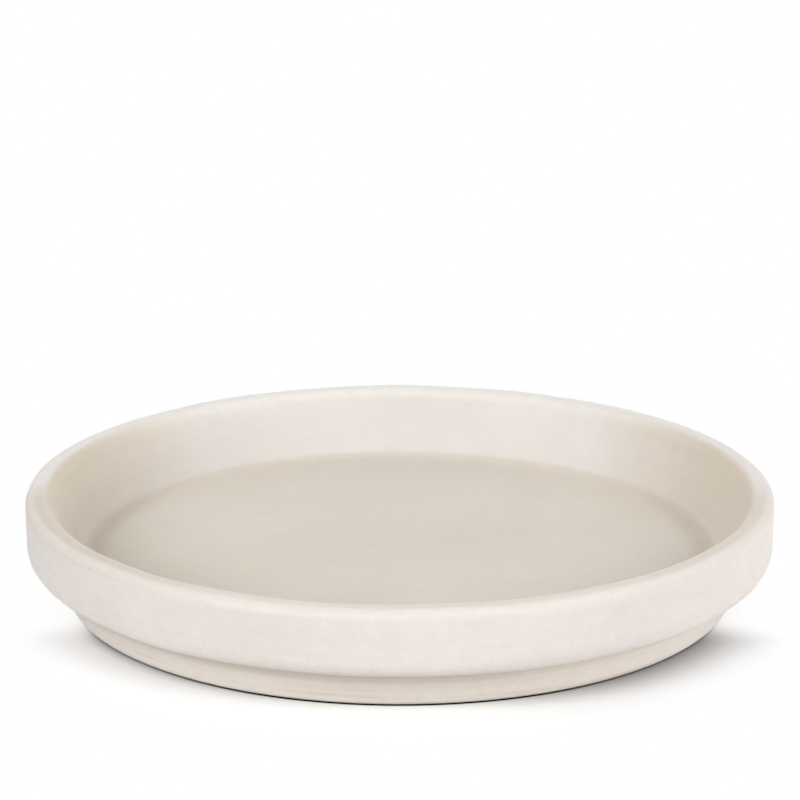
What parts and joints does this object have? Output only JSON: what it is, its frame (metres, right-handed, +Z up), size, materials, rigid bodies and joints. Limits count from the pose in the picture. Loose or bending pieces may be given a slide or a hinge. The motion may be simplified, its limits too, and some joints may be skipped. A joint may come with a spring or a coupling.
{
  "type": "plant saucer",
  "caption": "Low round saucer of pale raw clay that catches water under a plant pot, with a thick upright collar, a flat lip, a sloping inner wall and a narrower base.",
  "frame": {"origin": "middle of the base, on the surface that the saucer stands on", "axes": "+Z up along the axis of the round dish; X and Y are alike, because the saucer is the same all round"},
  "size_m": [0.2, 0.2, 0.0282],
  "materials": {
    "raw_clay": "matte",
    "sealing_coat": "matte"
  },
  "bodies": {
    "root": {"clay_body": "raw_clay", "inner_sealing_coat": "sealing_coat"}
  },
  "joints": []
}
